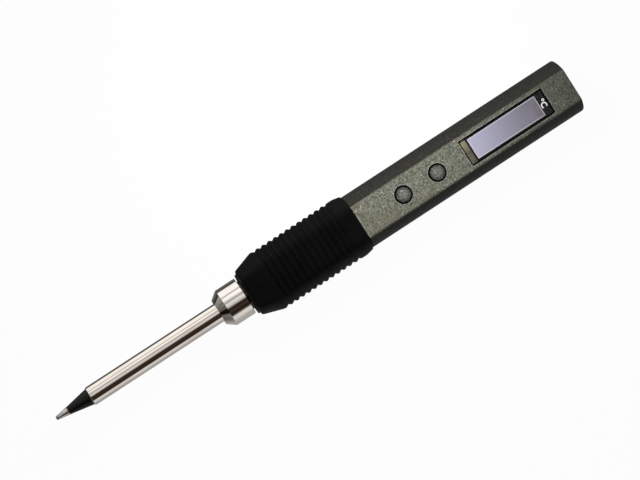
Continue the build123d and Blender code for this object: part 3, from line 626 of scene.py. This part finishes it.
def clothe_cad_nodes():
    """Gives every CAD node that stays its own finish."""
    # The shell's edges get a near-white painted highlight
    shell_paint = painted_metal(
        "shell_paint", srgb(80, 82, 73), srgb(140, 141, 128), srgb(225, 225, 216), (1.0, 0.72), 0.0
    )
    # The buttons' paint: near-black painted shade on the dome edges, and black below 7.9 mm as painted
    # shade in their gaps
    button_paint = painted_metal(
        "button_paint", srgb(82, 83, 79), srgb(146, 147, 141), srgb(10, 10, 10), (1.0, 0.915), 7.9 * MM
    )
    black = plain_finish("black_plastic", srgb(9, 9, 10), srgb(14, 14, 15), 1.5 * MM, 0.6)
    black.node_tree.nodes["Principled BSDF"].inputs["Specular IOR Level"].default_value = 0.1
    bronze = plain_finish("spring_bronze", srgb(176, 128, 72), srgb(198, 152, 92), 1.0 * MM, 0.3, 1.0)
    nickel = plain_finish("nickel", srgb(180, 176, 168), srgb(206, 202, 194), 1.0 * MM, 0.25, 1.0)
    ceramic = plain_finish("ceramic", srgb(214, 208, 196), srgb(232, 228, 218), 0.8 * MM, 0.55)
    foam = plain_finish("foam_grey", srgb(60, 60, 62), srgb(84, 84, 86), 0.3 * MM, 0.9, 0.0, 0.08)
    cap = plain_finish("cap_plastic", srgb(22, 22, 23), srgb(31, 31, 32), 0.5 * MM, 0.6, 0.0, 0.03)
    chip = plain_finish("chip_black", srgb(22, 22, 23), srgb(34, 34, 35), 0.4 * MM, 0.6)
    green = plain_finish(
        "board_laminate", srgb(18, 66, 40), srgb(26, 84, 50), 0.6 * MM, 0.35, 0.0, 0.02, (1, 3, 1)
    )
    finishes = {
        "shell": shell_paint,
        "front_button": button_paint,
        "rear_button": button_paint,
        "clamp_screw": plain_finish("oxide_screw", srgb(38, 37, 38), srgb(58, 56, 56), 0.5 * MM, 0.4, 1.0),
        "tail_cap": cap,
        "tail_cap_screws": nickel,
        "heater_rod": ceramic,
        "heater_leads": nickel,
        "front_insulator": ceramic,
        "rear_insulator": ceramic,
        "contact_ring": nickel,
        "end_contact": nickel,
        "contact_block": black,
        "main_board": green,
        "controller_chip": chip,
        "motion_sensor_chip": chip,
        "power_mosfet": chip,
        "power_inductor": plain_finish("inductor_grey", srgb(70, 70, 72), srgb(90, 90, 92), 0.5 * MM, 0.6),
        "capacitors": plain_finish("capacitor_tan", srgb(150, 112, 74), srgb(172, 132, 90), 0.5 * MM, 0.5),
        "display_holder": black,
        "display_foam": foam,
        "display_mask": plain_finish("mask_print", srgb(12, 12, 13), srgb(20, 20, 21), 1.0 * MM, 0.4),
        "display_lens": clear_lens(),
        "oled_glass": display_glass(),
        "oled_polarizer": polarizer_film(),
        "oled_flex": plain_finish("flex_amber", srgb(150, 92, 30), srgb(176, 112, 42), 0.8 * MM, 0.35),
        "dc_jack_housing": black,
        "dc_jack_pin": nickel,
        "dc_jack_spring": bronze,
        "usb_socket_shell": nickel,
        "usb_socket_tongue": black,
    }
    for name in ("ground", "ring", "end"):
        finishes[name + "_contact_spring"] = bronze
    for name in ("front", "rear"):
        finishes[name + "_switch"] = black
        finishes[name + "_switch_plunger"] = ceramic
    for name, material in finishes.items():
        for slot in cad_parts[name].material_slots:
            slot.material = material


def dress(piece, material):
    piece.data.materials.clear()
    piece.data.materials.append(material)


# Studio


# Strips of light round the iron's axis: degrees from straight up towards +Y, and display brightness
LIGHT_STRIPS = (
    (-180, 100), (-150, 100), (-128, 72), (-119, 72), (-112, 252), (-72, 252), (-64, 140),
    (-57, 255), (-42, 250), (-33, 195), (-25, 150), (-17, 225), (-4, 200), (3, 165), (9, 62),
    (18, 34), (30, 62), (42, 32), (52, 44), (60, 110), (66, 215), (86, 206), (100, 168), (150, 158),
    (180, 100),
)
# Strips darker than this are a brown wall, and the others a warm white
WALL_BRIGHTNESS = 70
WALL_TINT = (1.0, 0.66, 0.5)
LIGHT_TINT = (1.0, 0.985, 0.97)
STRIP_GAIN = 1.2
# The room falls off towards both ends of the iron: how far along X the direction points, and share
END_FALLOFF = ((0.4, 1.0), (0.75, 0.3), (1.0, 0.16))
# What matt surfaces get from the room above, and from the white floor below
ROOM_LEVEL = 0.05
FLOOR_LEVEL = 0.7
# How far down a direction points where the floor's light is full
FLOOR_FULL_AT = -0.4

# The floor itself, in metres, and how much of its white is lit rather than its own
FLOOR_HALF_SIZE = 4.0
FLOOR_DROP = 0.9 * MM
FLOOR_LIT_SHARE = 0.03

# The softbox: metres, and watts
SOFTBOX_SIZE = (0.06, 0.05)
SOFTBOX_POWER = 0.13
SOFTBOX_PLACE = Vector((-0.055, -0.055, 0.085))
SOFTBOX_TARGET = Vector((-0.055, 0, 0))


def world_ramp(nodes, stops):
    """A colour ramp node through (place, colour) stops."""
    ramp = nodes.new("ShaderNodeValToRGB")
    for index, (place, colour) in enumerate(stops):
        if index < 2:
            stop = ramp.color_ramp.elements[index]
            stop.position = place
        else:
            stop = ramp.color_ramp.elements.new(place)
        stop.color = (*colour, 1)
    return ramp


def make_world():
    """A room of long soft strips beside the iron.

    The eye sees white, and matt surfaces a dim room above and a white floor below.
    """
    world = bpy.data.worlds.new("studio")
    bpy.context.scene.world = world
    world.use_nodes = True
    nodes, links = world.node_tree.nodes, world.node_tree.links
    direction = nodes.new("ShaderNodeTexCoord")
    split = nodes.new("ShaderNodeSeparateXYZ")
    links.new(direction.outputs["Generated"], split.inputs[0])
    turn = nodes.new("ShaderNodeMath")
    turn.operation = "ARCTAN2"
    links.new(split.outputs["Y"], turn.inputs[0])
    links.new(split.outputs["Z"], turn.inputs[1])
    share = nodes.new("ShaderNodeMapRange")
    share.inputs["From Min"].default_value = -math.pi
    share.inputs["From Max"].default_value = math.pi
    links.new(turn.outputs[0], share.inputs["Value"])
    stops = []
    for angle, brightness in LIGHT_STRIPS:
        level = srgb(brightness, brightness, brightness)[0]
        tint = WALL_TINT if brightness < WALL_BRIGHTNESS else LIGHT_TINT
        stops.append(((angle + 180) / 360, [level * part for part in tint]))
    strips = world_ramp(nodes, stops)
    links.new(share.outputs[0], strips.inputs[0])
    lengthwise = nodes.new("ShaderNodeMath")
    lengthwise.operation = "ABSOLUTE"
    links.new(split.outputs["X"], lengthwise.inputs[0])
    ends = world_ramp(nodes, [(place, [level, level, level]) for place, level in END_FALLOFF])
    links.new(lengthwise.outputs[0], ends.inputs[0])
    room = nodes.new("ShaderNodeVectorMath")
    room.operation = "MULTIPLY"
    links.new(strips.outputs[0], room.inputs[0])
    links.new(ends.outputs[0], room.inputs[1])
    gain = nodes.new("ShaderNodeVectorMath")
    gain.operation = "SCALE"
    gain.inputs["Scale"].default_value = STRIP_GAIN
    links.new(room.outputs[0], gain.inputs[0])
    path = nodes.new("ShaderNodeLightPath")
    fill = nodes.new("ShaderNodeMapRange")
    fill.inputs["From Min"].default_value = FLOOR_FULL_AT
    fill.inputs["From Max"].default_value = 0.0
    fill.inputs["To Min"].default_value = FLOOR_LEVEL
    fill.inputs["To Max"].default_value = ROOM_LEVEL
    links.new(split.outputs["Z"], fill.inputs["Value"])
    white = nodes.new("ShaderNodeValue")
    white.outputs[0].default_value = 1.0
    colour = gain.outputs[0]
    for ray, light in (("Is Diffuse Ray", fill), ("Is Camera Ray", white)):
        shown = nodes.new("ShaderNodeMix")
        shown.data_type = "RGBA"
        links.new(path.outputs[ray], shown.inputs["Factor"])
        links.new(colour, shown.inputs[6])
        links.new(light.outputs[0], shown.inputs[7])
        colour = shown.outputs[2]
    links.new(colour, nodes["Background"].inputs["Color"])


def make_floor():
    """Plain white floor. It shows from above only, and the steel shows the room instead."""
    floor_z = cad_low.z - FLOOR_DROP
    builder = bmesh.new()
    bmesh.ops.create_grid(builder, x_segments=2, y_segments=2, size=FLOOR_HALF_SIZE)
    bmesh.ops.translate(builder, verts=builder.verts, vec=(0, 0, floor_z))
    floor = finished_object("floor", builder)
    if floor.data.polygons[0].normal.z < 0:
        floor.data.flip_normals()
    white = Surface("floor_white", Roughness=0.9)
    white.feed("Base Color", white.mix(white.noise(40 * MM), srgb(235, 235, 234), srgb(240, 240, 239)))
    glow = white.add("ShaderNodeEmission", {"Color": (1, 1, 1, 1), "Strength": 1.0})
    matt = white.shader.outputs[0]
    lit = white.add("ShaderNodeMixShader", {0: FLOOR_LIT_SHARE, 1: glow.outputs[0], 2: matt})
    below = white.add("ShaderNodeNewGeometry").outputs["Backfacing"]
    clear = white.add("ShaderNodeBsdfTransparent")
    shown = white.add("ShaderNodeMixShader", {0: below, 1: lit.outputs[0], 2: clear.outputs[0]})
    white.tree.links.new(shown.outputs[0], white.tree.nodes["Material Output"].inputs["Surface"])
    dress(floor, white.material)
    floor.visible_glossy = False
    floor.visible_diffuse = False
    floor.visible_transmission = False


def make_softbox():
    """A soft light above the buttons, on the -Y side. It lights matt surfaces only."""
    light = bpy.data.lights.new("softbox", "AREA")
    light.shape = "RECTANGLE"
    light.size, light.size_y = SOFTBOX_SIZE
    light.energy = SOFTBOX_POWER
    softbox = bpy.data.objects.new("softbox", light)
    bpy.context.scene.collection.objects.link(softbox)
    aim = SOFTBOX_TARGET - SOFTBOX_PLACE
    softbox.location = SOFTBOX_PLACE
    softbox.rotation_mode = "QUATERNION"
    softbox.rotation_quaternion = aim.to_track_quat("-Z", "Y")
    softbox.visible_camera = False
    softbox.visible_glossy = False


def make_camera():
    data = bpy.data.cameras.new("camera")
    data.lens = CAMERA_LENS
    data.sensor_width = CAMERA_SENSOR
    data.clip_start = 0.01
    data.clip_end = 20.0
    camera = bpy.data.objects.new("camera", data)
    bpy.context.scene.collection.objects.link(camera)
    back = (CAMERA_PLACE - CAMERA_TARGET).normalized()
    up_hint = Vector((math.cos(CAMERA_ROLL), math.sin(CAMERA_ROLL), 0))
    right = up_hint.cross(back).normalized()
    up = back.cross(right)
    turn = Matrix((right, up, back)).transposed().to_4x4()
    camera.matrix_world = Matrix.Translation(CAMERA_PLACE) @ turn
    bpy.context.scene.camera = camera


# The scene

make_camera()
make_world()
make_floor()
make_softbox()
clothe_cad_nodes()

sleeve = mount_piece(make_grip_sleeve(), "handle", "silicone_black", "grip_sleeve")
dress(sleeve, silicone())
collar = mount_piece(make_nose_collar(), "handle", "collar_steel", "nose_collar")
stain_from = LAND_REAR_X + 0.05 * MM
collar_steel = turned_steel("collar_steel", srgb(240, 235, 229), 0.05, 0.10, 0.15 * MM, stain_from)
dress(collar, collar_steel)
tube = mount_piece(make_tip_tube(), "cartridge", "tube_steel", "tip_tube")
dress(tube, turned_steel("tube_steel", srgb(238, 231, 224), 0.04, 0.08, 0.2 * MM, SLEEVE_REAR_X))
bit = mount_piece(make_tip_bit(), "cartridge", "bit_plated", "tip_bit")
dress(bit, tinned_tip())
mark = mount_piece(make_temperature_mark(), "handle", "mask_print")
dress(mark, plain_finish("white_print", srgb(248, 248, 247), srgb(255, 255, 255), 0.3 * MM, 0.5))

bpy.context.scene.view_settings.view_transform = "Standard"
